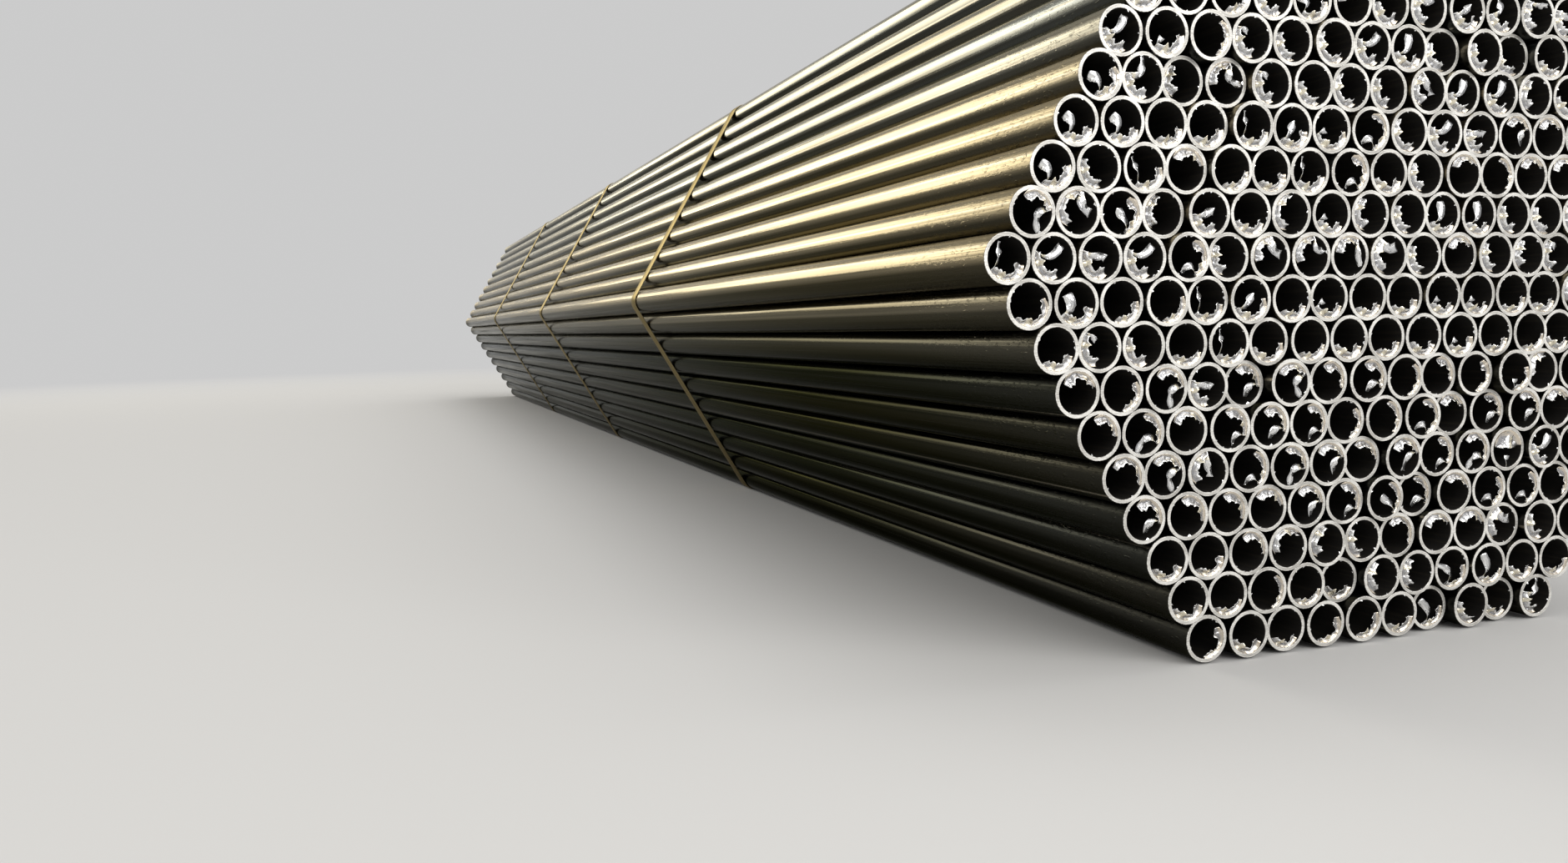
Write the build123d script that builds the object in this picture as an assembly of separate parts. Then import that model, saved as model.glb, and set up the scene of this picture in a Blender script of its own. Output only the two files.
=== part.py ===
from build123d import *
import math
import os
import random

# Driving dimensions, in millimetres.
# X runs across the bundle, Y along the tubes and Z up. The sawn end at -Y is the front.

# One tube: welded steel, sawn square at both ends.
TUBE_OUTER_DIAMETER = 25.4
TUBE_WALL = 2.0
TUBE_LENGTH = 3000.0

# The pack is a hexagon that lies on one of its flats. Each flat is this many tubes wide.
TUBES_PER_SIDE = 10
GAP_IN_ROW = 0.5
GAP_BETWEEN_ROWS = 0.2

# The tubes lie a little loose: each is shifted sideways and lengthways by up to these amounts.
SIDEWAYS_SHIFT = 0.1
END_STAGGER = 1.4
STAGGER_SEED = 27

# Steel bands hold the pack. The outer ones stand this far in from the tube ends.
BAND_COUNT = 3
BAND_INSET = 780.0
BAND_WIDTH = 19.0
BAND_THICKNESS = 0.8
BAND_CLEARANCE = 0.25

# Each band is one strip whose ends lap on top of the pack, inside a crimped sheet seal.
SEAL_LENGTH = 32.0
SEAL_SHEET = 0.9
SEAL_FOLD_RADIUS = 0.8
SEAL_CLEARANCE = 0.1
SEAL_SEAM = 7.0
CRIMP_RADIUS = 2.6
CRIMP_SPACING = 13.0
LAP_BEYOND_SEAL = 9.0
LAP_STEP = 12.0
LAP_GAP = 0.1
TAIL_RADIUS = 95.0
TAIL_TURN = 32.0

# Tubes that were pushed in from the front end, as (row, place): distance.
# Rows count from 0 at the bottom, and places from 0 at the left. A minus sign is a tube that stands out.
PUSHED_IN = {
    (0, 6): 3.0,
    (0, 8): 3.5,
    (1, 4): 4.5,
    (2, 6): 3.0,
    (2, 9): 3.5,
    (3, 7): 3.0,
    (4, 6): 3.0,
    (4, 11): -2.5,
    (5, 9): 3.5,
    (5, 10): 3.0,
    (6, 4): 3.5,
    (6, 11): -3.0,
    (7, 12): -3.0,
    (8, 0): 2.5,
    (9, 14): 3.0,
    (10, 3): 2.5,
    (11, 3): 3.0,
    (12, 3): 3.5,
    (13, 2): 5.0,
    (13, 3): 3.5,
    (14, 8): 3.0,
    (14, 10): 3.5,
}

# Worked out from the driving dimensions.
TUBE_RADIUS = TUBE_OUTER_DIAMETER / 2
BORE_RADIUS = TUBE_RADIUS - TUBE_WALL
PITCH = TUBE_OUTER_DIAMETER + GAP_IN_ROW
ROW_RISE = math.sqrt((TUBE_OUTER_DIAMETER + GAP_BETWEEN_ROWS) ** 2 - (PITCH / 2) ** 2)
ROW_COUNT = 2 * TUBES_PER_SIDE - 1
LAST_ROW = ROW_COUNT - 1
MIDDLE_ROW = TUBES_PER_SIDE - 1

# The bundle lies on its bands, so the bottom row's centres are this high.
FIRST_ROW_HEIGHT = BAND_THICKNESS + BAND_CLEARANCE + TUBE_RADIUS


def tubes_in_row(row):
    """How many tubes lie side by side in a row of the hexagon."""
    return ROW_COUNT - abs(row - MIDDLE_ROW)


def tube_centre(row, place):
    """Where a tube's axis crosses the XZ plane in the perfectly even pack."""
    across = (place - (tubes_in_row(row) - 1) / 2) * PITCH
    return across, FIRST_ROW_HEIGHT + row * ROW_RISE


def make_tube():
    """One straight tube, centred on the origin and running along Y."""
    section = Circle(TUBE_RADIUS) - Circle(BORE_RADIUS)
    return extrude(Plane.XZ * section, TUBE_LENGTH / 2, both=True).solid()


def make_tube_rows():
    """Every row of the hexagon as a list of separate tubes, from the bottom row up."""
    tube = make_tube()
    chance = random.Random(STAGGER_SEED)
    rows = []
    for row in range(ROW_COUNT):
        tubes = []
        for place in range(tubes_in_row(row)):
            across, height = tube_centre(row, place)
            across += chance.uniform(-SIDEWAYS_SHIFT, SIDEWAYS_SHIFT)
            along = chance.uniform(-END_STAGGER, END_STAGGER)
            along += PUSHED_IN.get((row, place), 0.0)
            tubes.append(Pos(across, along, height) * tube)
        rows.append(tubes)
    return rows


# The band and seal are drawn as sections in the XZ plane, from the crown of the top row upwards.
CROWN = tube_centre(LAST_ROW, 0)[1] + TUBE_RADIUS
SEAL_FLOOR = CROWN + BAND_CLEARANCE
LAP_FLOOR = SEAL_FLOOR + SEAL_SHEET + SEAL_CLEARANCE
UPPER_FLOOR = LAP_FLOOR + BAND_THICKNESS + LAP_GAP
LAP_TOP = UPPER_FLOOR + BAND_THICKNESS
LAP_END = SEAL_LENGTH / 2 + LAP_BEYOND_SEAL
FLAT_END = LAP_END + LAP_STEP


def rectangle(left, right, bottom, top):
    """A rectangle given by its edges."""
    return Pos((left + right) / 2, (bottom + top) / 2) * Rectangle(right - left, top - bottom)


def make_crimps():
    """The two pairs of half-round notches that lock the seal and both ends of the band together."""
    edge = BAND_WIDTH / 2 + SEAL_CLEARANCE + SEAL_SHEET
    notches = Sketch() + [
        Pos(side_x * CRIMP_SPACING / 2, side_y * edge) * Circle(CRIMP_RADIUS)
        for side_x in (-1, 1)
        for side_y in (-1, 1)
    ]
    return extrude(Pos(0, 0, CROWN) * notches, LAP_TOP + SEAL_SHEET - CROWN + TUBE_RADIUS)


def make_band(crimps):
    """One strip of band: round the hexagon's six corners, up over its own end, and out to a free tail."""
    wrap_radius = TUBE_RADIUS + BAND_CLEARANCE
    corners = []
    for row in (0, MIDDLE_ROW, LAST_ROW):
        for place in (0, tubes_in_row(row) - 1):
            corners.append(Pos(*tube_centre(row, place)) * Circle(wrap_radius))
    lifted = Line((-FLAT_END, LAP_FLOOR), (FLAT_END, LAP_FLOOR))
    inside = make_hull([corner.edge() for corner in corners] + [lifted.edge()])
    loop = offset(inside, BAND_THICKNESS) - inside
    loop -= rectangle(LAP_END, FLAT_END, CROWN, LAP_TOP)

    step = Polygon(
        (LAP_END, UPPER_FLOOR),
        (FLAT_END, LAP_FLOOR),
        (FLAT_END, LAP_FLOOR + BAND_THICKNESS),
        (LAP_END, LAP_TOP),
        align=None,
    )
    upper_end = rectangle(-LAP_END, LAP_END, UPPER_FLOOR, LAP_TOP)
    tail_start = (-LAP_END, UPPER_FLOOR + BAND_THICKNESS / 2)
    tail_centre = (tail_start[0], tail_start[1] + TAIL_RADIUS)
    tail_line = CenterArc(tail_centre, TAIL_RADIUS, 270, -TAIL_TURN)
    tail = trace(tail_line, BAND_THICKNESS)

    strip = extrude(Plane.XZ * (loop + step + upper_end + tail), BAND_WIDTH / 2, both=True)
    return (strip - crimps).solid()


def make_seal(crimps):
    """A sheet sleeve folded round both ends of the band, with its seam underneath."""
    inner_half = BAND_WIDTH / 2 + SEAL_CLEARANCE
    outer_half = inner_half + SEAL_SHEET
    ceiling = LAP_TOP + SEAL_CLEARANCE
    sleeve = rectangle(-outer_half, outer_half, SEAL_FLOOR, ceiling + SEAL_SHEET)
    sleeve = fillet(sleeve.vertices(), SEAL_FOLD_RADIUS)
    sleeve -= rectangle(-inner_half, inner_half, SEAL_FLOOR + SEAL_SHEET, ceiling)
    sleeve -= rectangle(-SEAL_SEAM / 2, SEAL_SEAM / 2, SEAL_FLOOR - SEAL_SHEET, ceiling - SEAL_SHEET)
    folded = extrude(Plane.YZ * sleeve, SEAL_LENGTH / 2, both=True)
    return (folded - crimps).solid()


def band_places():
    """The distances along Y at which the bands stand, evenly spread between the two insets."""
    first = -TUBE_LENGTH / 2 + BAND_INSET
    spacing = (TUBE_LENGTH - 2 * BAND_INSET) / (BAND_COUNT - 1)
    return [first + index * spacing for index in range(BAND_COUNT)]


def make_bundle():
    """All the pieces of the bundle by name."""
    pieces = {}
    for row, tubes in enumerate(make_tube_rows()):
        pieces[f"tube_row_{row + 1:02d}"] = tubes
    crimps = make_crimps()
    band = make_band(crimps)
    seal = make_seal(crimps)
    for number, along in enumerate(band_places(), start=1):
        pieces[f"steel_band_{number}"] = [Pos(0, along, 0) * band]
        pieces[f"band_seal_{number}"] = [Pos(0, along, 0) * seal]
    return pieces


def write_pieces(pieces):
    """Centre the bundle over the origin and write each named piece to its own file."""
    os.makedirs("parts", exist_ok=True)
    everything = Compound([solid for solids in pieces.values() for solid in solids])
    middle = everything.bounding_box().center()
    to_centre = Pos(-middle.X, -middle.Y, 0)
    for name, solids in pieces.items():
        export_step(Compound([to_centre * solid for solid in solids]), f"parts/{name}.step")


write_pieces(make_bundle())
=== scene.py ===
# A bundle of sawn steel tubes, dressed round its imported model.
# The sections follow the object as a mill makes it: tubes, sawn ends, burrs, bands and seals.
import math
import random

import bmesh
import bpy
from mathutils import Matrix, Vector, noise


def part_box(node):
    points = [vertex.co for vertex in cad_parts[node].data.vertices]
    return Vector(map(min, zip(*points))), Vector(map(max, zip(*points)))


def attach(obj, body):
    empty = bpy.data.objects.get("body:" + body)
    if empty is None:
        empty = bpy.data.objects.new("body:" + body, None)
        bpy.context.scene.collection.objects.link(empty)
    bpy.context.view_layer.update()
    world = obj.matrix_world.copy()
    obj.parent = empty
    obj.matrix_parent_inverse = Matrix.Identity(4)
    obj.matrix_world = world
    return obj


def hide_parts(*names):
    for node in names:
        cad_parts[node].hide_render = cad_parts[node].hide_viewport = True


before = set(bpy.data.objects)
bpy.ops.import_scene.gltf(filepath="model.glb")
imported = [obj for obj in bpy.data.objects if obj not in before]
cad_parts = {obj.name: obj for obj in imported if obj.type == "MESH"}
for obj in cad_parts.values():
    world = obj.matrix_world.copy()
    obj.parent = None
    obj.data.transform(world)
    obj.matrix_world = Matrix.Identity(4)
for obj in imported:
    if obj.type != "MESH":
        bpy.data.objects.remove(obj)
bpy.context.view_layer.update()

scene = bpy.context.scene
scene.view_settings.view_transform = "Standard"


# How the tubes lie, read from the frame.
# Each row of the pack is one CAD node that holds its tubes as loose parts.
WELD_DISTANCE = 1e-6


def loose_parts(mesh):
    """The corner points of every loose part of a mesh, as one list for each part."""
    shape = bmesh.new()
    shape.from_mesh(mesh)
    bmesh.ops.remove_doubles(shape, verts=shape.verts, dist=WELD_DISTANCE)
    waiting = set(shape.verts)
    parts = []
    while waiting:
        reached = [waiting.pop()]
        part = []
        while reached:
            vert = reached.pop()
            part.append(vert.co.copy())
            for edge in vert.link_edges:
                other = edge.other_vert(vert)
                if other in waiting:
                    waiting.discard(other)
                    reached.append(other)
        parts.append(part)
    shape.free()
    return parts


def middle(values):
    """Halfway between the smallest and the largest value."""
    return (min(values) + max(values)) / 2


def centre_of(points):
    """The middle of the box round some points."""
    return Vector([middle([point[axis] for point in points]) for axis in range(3)])


def tubes_in(node):
    """The middle of each tube's axis in one row, from left to right."""
    centres = [centre_of(part) for part in loose_parts(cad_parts[node].data)]
    return sorted(centres, key=lambda centre: centre.x)


row_nodes = sorted(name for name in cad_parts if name.startswith("tube_row"))
rows = {name: tubes_in(name) for name in row_nodes}

sample_tube = loose_parts(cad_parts[row_nodes[0]].data)[0]
sample_axis = centre_of(sample_tube)
reaches = [math.hypot(point.x - sample_axis.x, point.z - sample_axis.z) for point in sample_tube]
TUBE_RADIUS = max(reaches)
BORE_RADIUS = min(reaches)
TUBE_LENGTH = max(point.y for point in sample_tube) - min(point.y for point in sample_tube)
TUBE_WALL = TUBE_RADIUS - BORE_RADIUS

all_tubes = [centre for centres in rows.values() for centre in centres]
fronts = sorted(centre.y - TUBE_LENGTH / 2 for centre in all_tubes)
FACE = fronts[len(fronts) // 2]


# The viewpoint: low in front of the sawn face and off its left flank, looking along the flank.
# Distances are in metres from the middle of the face's foot, and angles in degrees.
PICTURE_WIDTH = 1880
FOCAL_LENGTH_IN_PIXELS = 1448
EYE_TO_THE_LEFT = 0.5272
EYE_IN_FRONT = 0.5148
EYE_HEIGHT = 0.1838
HEADING_TO_THE_RIGHT = 19.14
TILT_DOWN = 5.065
ROLL_CLOCKWISE = 1.486


def add_object(name, data):
    """A new object in the scene that shows the given data."""
    thing = bpy.data.objects.new(name, data)
    scene.collection.objects.link(thing)
    return thing


def make_camera():
    """The camera that stands where the photograph was taken."""
    lens = bpy.data.cameras.new("viewpoint")
    lens.lens = lens.sensor_width * FOCAL_LENGTH_IN_PIXELS / PICTURE_WIDTH
    lens.clip_start = 0.01
    turn = Matrix.Rotation(math.radians(-HEADING_TO_THE_RIGHT), 4, "Z")
    lift = Matrix.Rotation(math.radians(90 - TILT_DOWN), 4, "X")
    roll = Matrix.Rotation(math.radians(-ROLL_CLOCKWISE), 4, "Z")
    place = Matrix.Translation((-EYE_TO_THE_LEFT, FACE - EYE_IN_FRONT, EYE_HEIGHT))
    eye = add_object("viewpoint", lens)
    eye.matrix_world = place @ turn @ lift @ roll
    scene.camera = eye


make_camera()


# The room: a pale matt floor that thins out into an even backdrop, and large soft lamps.
# One lamp stands far behind, because tubes seen along their length mirror what lies beyond their end.
FLOOR_SIZE = 60.0
FLOOR_COLOUR = (0.62, 0.615, 0.605, 1)
FADE_START = 2.0
FADE_END = 4.8
BACKDROP_COLOUR = (0.60, 0.60, 0.60, 1)
LAMPS = {
    "far_window": dict(place=(-2.9, 6.6, 3.4), size=(4.2, 3.9), power=250, colour=(1.0, 0.955, 0.85)),
    "front_softbox": dict(place=(0.7, -4.6, 2.1), size=(4.0, 2.6), power=104, colour=(1.0, 0.985, 0.96)),
    "overhead": dict(place=(0.9, -0.6, 3.6), size=(1.6, 4.0), power=40, colour=(1.0, 0.98, 0.95)),
}
LAMP_TARGET = (0.0, 0.0, 0.2)


def new_material(name):
    """An empty material, its tree, and the coordinates that its patterns can follow."""
    material = bpy.data.materials.new(name)
    material.use_nodes = True
    tree = material.node_tree
    tree.nodes.clear()
    return material, tree, tree.nodes.new("ShaderNodeTexCoord").outputs


def add_node(tree, kind, inputs=None, **settings):
    """A node with its settings. An input is a constant, a socket, or a node whose first output feeds it."""
    node = tree.nodes.new(kind)
    for name, value in settings.items():
        setattr(node, name, value)
    for name, value in (inputs or {}).items():
        if isinstance(value, bpy.types.Node):
            value = value.outputs[0]
        if isinstance(value, bpy.types.NodeSocket):
            tree.links.new(value, node.inputs[name])
        else:
            node.inputs[name].default_value = value
    return node


def remap(tree, value, start, end, low=0.0, high=1.0, curve="LINEAR"):
    """Low up to where the value reaches the start, high from the end on, and a slope between them."""
    inputs = {"Value": value, "From Min": start, "From Max": end, "To Min": low, "To Max": high}
    return add_node(tree, "ShaderNodeMapRange", inputs, interpolation_type=curve)


def vector_maths(tree, operation, vector):
    """What one step of reckoning with a vector gives, as a vector and as a number."""
    return add_node(tree, "ShaderNodeVectorMath", {0: vector}, operation=operation).outputs


def floor_material():
    """Pale matt floor that turns clear far from the object, so the backdrop takes over."""
    material, tree, where = new_material("pale_floor")
    distance = vector_maths(tree, "LENGTH", where["Object"])["Value"]
    surface = add_node(tree, "ShaderNodeMixShader", {
        0: remap(tree, distance, FADE_START, FADE_END, curve="SMOOTHSTEP"),
        1: add_node(tree, "ShaderNodeBsdfDiffuse", {"Color": FLOOR_COLOUR}),
        2: add_node(tree, "ShaderNodeBsdfTransparent"),
    })
    add_node(tree, "ShaderNodeOutputMaterial", {"Surface": surface})
    return material


def make_floor():
    """One large flat sheet at the height on which the bundle lies."""
    half = FLOOR_SIZE / 2
    mesh = bpy.data.meshes.new("floor")
    corners = [(-half, -half, 0), (half, -half, 0), (half, half, 0), (-half, half, 0)]
    mesh.from_pydata(corners, [], [(0, 1, 2, 3)])
    mesh.materials.append(floor_material())
    add_object("floor", mesh)


def make_backdrop():
    """An even pale dome, the same for the camera, the metal and the light that falls on the bundle."""
    world = bpy.data.worlds.new("backdrop")
    world.use_nodes = True
    tree = world.node_tree
    tree.nodes.clear()
    dome = add_node(tree, "ShaderNodeBackground", {"Color": BACKDROP_COLOUR, "Strength": 1.0})
    add_node(tree, "ShaderNodeOutputWorld", {"Surface": dome})
    scene.world = world


def make_lamps():
    """Large rectangular lamps, each turned towards the bundle."""
    for name, lamp in LAMPS.items():
        light = bpy.data.lights.new(name, "AREA")
        light.shape = "RECTANGLE"
        light.size, light.size_y = lamp["size"]
        light.energy = lamp["power"]
        light.color = lamp["colour"]
        holder = add_object(name, light)
        holder.location = lamp["place"]
        aim = Vector(LAMP_TARGET) - Vector(lamp["place"])
        holder.rotation_euler = aim.to_track_quat("-Z", "Y").to_euler()
        holder.visible_camera = False


make_floor()
make_backdrop()
make_lamps()


# The tubes: welded from cold-rolled strip, drawn bright and oiled, then sawn to length as one pack.
# Each is made true in section, with a broken edge at both cuts and a rim that the blade left uneven.
TUBE_SIDES = 48
EDGE_BREAK = 0.00018
RIM_UNEVENNESS = 0.00016
RIM_WAVE = 260.0
CUT_FACING = 0.3
TUBE_SHARP_ANGLE = 20
TUBE_SEED = 4
# Painted reflection: from this row upwards the tubes' tone is pushed towards grey, for a cool reflection
# above the pack.
FIRST_REFLECTION_GREY_ROW = 14
REFLECTION_GREYER_BY = 0.45

# The left flank's tubes as they are seen, from the widest row upwards: where the weld lies, in degrees
# anticlockwise from the right, and the tone, from 0 for brown to about 1 for grey.
# The grey tones of the upper rows are painted reflection.
SEEN_TUBES = {
    9: (148, 0.20),
    10: (160, 0.05),
    11: (152, 0.25),
    12: (166, 0.10),
    13: (172, 0.35),
    14: (181, 0.75),
    15: (164, 1.10),
    16: (176, 0.85),
    17: (185, 1.05),
    18: (170, 0.95),
}

STEEL_WARM = (0.335, 0.28, 0.18, 1)
STEEL_COOL = (0.24, 0.26, 0.255, 1)
STEEL_DARK = (0.11, 0.092, 0.060, 1)
GLANCING_TINT = (0.82, 0.78, 0.68, 1)
CUT_BRIGHT = (0.98, 0.965, 0.92, 1)
CUT_DULL = (0.50, 0.485, 0.45, 1)
NICK_COLOUR = (0.20, 0.18, 0.16, 1)
# Painted shade: the near-black colour of the bore.
BORE_SHADE_COLOUR = (0.020, 0.018, 0.016, 1)
SEAM_COLOUR = (0.40, 0.36, 0.28, 1)
# Painted shade for the undersides and the pack's lower half: its near-black colour, its duller grazing tint,
# and the heights between which it sets in.
PAINTED_SHADE_COLOUR = (0.024, 0.024, 0.021, 1)
PAINTED_SHADE_TINT = (0.40, 0.405, 0.39, 1)
SHADE_LINE_TOP = 0.235
SHADE_LINE_BOTTOM = 0.15
SCUFFED_LENGTH = 0.16

# How fine the patterns are along X, Y and Z. A tube runs along Y. The slant is in radians.
DRAWING_LINES = (1100, 4, 1100)
OIL_STREAKS = (170, 2.2, 170)
WELD_CHATTER = (150, 420, 150)
SCUFFS = (900, 260, 900)
NICKS = (560, 190, 560)
BLADE_MARKS = (260, 1, 2600)
BLADE_SLANT = 0.35
CUT_PATCHES = (70, 70, 70)
CUT_NICKS = (850, 850, 850)
BORE_STREAKS = (500, 12, 500)


def maths(tree, operation, *inputs, **settings):
    """One step of reckoning with numbers."""
    return add_node(tree, "ShaderNodeMath", dict(enumerate(inputs)), operation=operation, **settings)


def along_axis(tree, vector, axis):
    """One part of a vector, by the name of its axis."""
    return add_node(tree, "ShaderNodeSeparateXYZ", {"Vector": vector}).outputs[axis]


def on_mesh(tree, name, kind="Fac"):
    """What the mesh holds under a name, as a number or as a vector."""
    return add_node(tree, "ShaderNodeAttribute", attribute_name=name).outputs[kind]


def stretched_noise(tree, where, scale, detail, turn=(0, 0, 0)):
    """Noise with its own scale along each axis: the larger the scale, the finer the pattern."""
    spread = add_node(tree, "ShaderNodeMapping", {"Vector": where, "Rotation": turn, "Scale": scale})
    return add_node(tree, "ShaderNodeTexNoise", {"Vector": spread, "Scale": 1.0, "Detail": detail})


def mixed(tree, share, first, second):
    """The first colour where the share is 0, and the second where it is 1."""
    return add_node(tree, "ShaderNodeMix", {0: share, 6: first, 7: second}, data_type="RGBA").outputs[2]


def relief(tree, height, strength, depth, below=None):
    """A relief too fine for the mesh, laid over another one if that is given."""
    inputs = {"Height": height, "Strength": strength, "Distance": depth}
    if below is not None:
        inputs["Normal"] = below
    return add_node(tree, "ShaderNodeBump", inputs)


def metal(material, inputs):
    """The material with its surface made of metal."""
    tree = material.node_tree
    surface = add_node(tree, "ShaderNodeBsdfPrincipled", inputs)
    add_node(tree, "ShaderNodeOutputMaterial", {"Surface": surface})
    return material


def skin_material():
    """The outer skin: drawn lengthways, so its tone and gloss run in streaks along the tube."""
    material, tree, where = new_material("drawn_steel_skin")
    fine_streaks = stretched_noise(tree, where["Object"], DRAWING_LINES, detail=1.0)
    broad_streaks = stretched_noise(tree, where["Object"], OIL_STREAKS, detail=2.0)

    # The base tone differs from tube to tube, and an oily film darkens it in broad streaks.
    cool_share = remap(tree, on_mesh(tree, "tone"), 0.25, 1.10)
    base = mixed(tree, cool_share, STEEL_WARM, STEEL_COOL)
    film = remap(tree, broad_streaks, 0.38, 0.70, high=0.75)
    stained = mixed(tree, film, base, STEEL_DARK)

    # Painted shade: the undersides, and all the tubes of the pack's lower half, are darkened to near black
    # and reflect less at grazing angles, as if they lay in shade.
    facing = add_node(tree, "ShaderNodeNewGeometry").outputs["Normal"]
    shaded_underside = remap(tree, along_axis(tree, facing, "Z"), 0.12, -0.25, high=0.85)
    height = along_axis(tree, where["Object"], "Z")
    shaded_lower_half = remap(tree, height, SHADE_LINE_TOP, SHADE_LINE_BOTTOM, high=0.97, curve="SMOOTHSTEP")
    painted_shade = maths(tree, "MAXIMUM", shaded_underside, shaded_lower_half)
    base_with_shade = mixed(tree, painted_shade, stained, PAINTED_SHADE_COLOUR)
    glancing = mixed(tree, painted_shade, GLANCING_TINT, PAINTED_SHADE_TINT)

    # The weld is a thin line along each tube, pale from the tool that trimmed it and rough from its chatter.
    towards_weld = along_axis(tree, on_mesh(tree, "around", "Vector"), "X")
    seam = remap(tree, towards_weld, 0.9952, 0.9975, high=0.55)
    seamed = mixed(tree, seam, base_with_shade, SEAM_COLOUR)
    chatter = stretched_noise(tree, where["Object"], WELD_CHATTER, detail=0.0)
    chatter_depth = maths(tree, "MULTIPLY", seam, 0.4)

    # Handling scuffed and nicked the skin within a hand's length of both cuts.
    from_middle = maths(tree, "ABSOLUTE", along_axis(tree, where["Object"], "Y"))
    near_cut = remap(tree, from_middle, TUBE_LENGTH / 2 - SCUFFED_LENGTH, TUBE_LENGTH / 2, low=0.12)
    at_cut = maths(tree, "POWER", near_cut, 2.0)
    scuff_marks = remap(tree, stretched_noise(tree, where["Object"], SCUFFS, detail=1.0), 0.56, 0.72)
    scuffed = maths(tree, "MULTIPLY", scuff_marks, near_cut)
    nick_marks = remap(tree, stretched_noise(tree, where["Object"], NICKS, detail=0.5), 0.665, 0.73)
    nicks = maths(tree, "MULTIPLY", nick_marks, at_cut)

    # Scuffs take the gloss away, and every mark has its own depth.
    gloss = remap(tree, fine_streaks, 0.3, 0.7, low=0.08, high=0.28)
    dull_end = maths(tree, "MULTIPLY_ADD", at_cut, 0.18, gloss)
    drawn = relief(tree, fine_streaks, strength=0.42, depth=0.0001)
    dented = relief(tree, scuffed, strength=0.2, depth=0.0002, below=drawn)
    nicks_and_chatter = maths(tree, "MULTIPLY_ADD", chatter, chatter_depth, nicks)
    return metal(material, {
        "Metallic": 1.0,
        "Base Color": seamed,
        "Specular Tint": glancing,
        "Roughness": maths(tree, "MULTIPLY_ADD", scuffed, 0.18, dull_end),
        "Normal": relief(tree, nicks_and_chatter, strength=0.7, depth=0.00025, below=dented),
    })


def cut_material():
    """The sawn face: bright, with fine blade marks straight across the whole pack."""
    material, tree, where = new_material("sawn_steel")
    marks = stretched_noise(tree, where["Object"], BLADE_MARKS, detail=2.0, turn=(0, BLADE_SLANT, 0))
    fine_share = remap(tree, marks, 0.5, 0.85, high=0.7)

    # The ring is duller in broad patches, and along the middle of its wall, so that its edges stay bright as
    # a painted highlight where they catch the light.
    patches = stretched_noise(tree, where["Object"], CUT_PATCHES, detail=1.0)
    patch_share = remap(tree, patches, 0.38, 0.66, low=0.25)
    from_centre = maths(tree, "ABSOLUTE", on_mesh(tree, "across_wall"))
    dull_core_between_lit_edges = remap(tree, from_centre, 0.9, 0.45)
    dull = maths(tree, "MULTIPLY_ADD", patch_share, dull_core_between_lit_edges, fine_share, use_clamp=True)
    colour = mixed(tree, dull, CUT_BRIGHT, CUT_DULL)

    # The blade's teeth left both edges of the ring nicked.
    reach = maths(tree, "ADD", from_centre, stretched_noise(tree, where["Object"], CUT_NICKS, detail=2.0))
    nicks = remap(tree, reach, 1.26, 1.42, high=0.8)
    return metal(material, {
        "Metallic": 0.55,
        "Roughness": 0.42,
        "Base Color": mixed(tree, nicks, colour, NICK_COLOUR),
        "Normal": relief(tree, marks, strength=0.5, depth=0.0002),
    })


def bore_material():
    """The inside: painted shade, a near-black colour for the dark inside a long tube, dull and slightly
    brown.
    """
    material, tree, where = new_material("dark_bore")
    streaks = stretched_noise(tree, where["Object"], BORE_STREAKS, detail=2.0)
    thin = remap(tree, streaks, 0.5, 0.9, high=0.35)
    colour = mixed(tree, thin, BORE_SHADE_COLOUR, STEEL_DARK)
    return metal(material, {"Metallic": 0.3, "Roughness": 0.6, "Base Color": colour})


def new_tree(name, inputs):
    """A geometry tree with named inputs, given as (name, kind of socket), and the sockets that bring them."""
    tree = bpy.data.node_groups.new(name, "GeometryNodeTree")
    for label, kind in [("Geometry", "NodeSocketGeometry")] + inputs:
        tree.interface.new_socket(label, in_out="INPUT", socket_type=kind)
    tree.interface.new_socket("Geometry", in_out="OUTPUT", socket_type="NodeSocketGeometry")
    return tree, tree.nodes.new("NodeGroupInput").outputs


def stored(tree, geometry, label, value, kind="FLOAT", domain="POINT"):
    """The geometry with a value kept on it under a name."""
    inputs = {"Geometry": geometry, "Name": label, "Value": value}
    return add_node(tree, "GeometryNodeStoreNamedAttribute", inputs, data_type=kind, domain=domain)


def read_back(tree, label, kind="FLOAT"):
    """The value that the geometry keeps under a name."""
    return add_node(tree, "GeometryNodeInputNamedAttribute", {"Name": label}, data_type=kind)


def stood_on(tree, points, inputs):
    """Real copies of a shape, one at every point, with the inputs that choose and turn them."""
    spots = add_node(tree, "GeometryNodeMeshToPoints", {"Mesh": points})
    copies = add_node(tree, "GeometryNodeInstanceOnPoints", {"Points": spots, **inputs})
    return add_node(tree, "GeometryNodeRealizeInstances", {"Geometry": copies})


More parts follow.
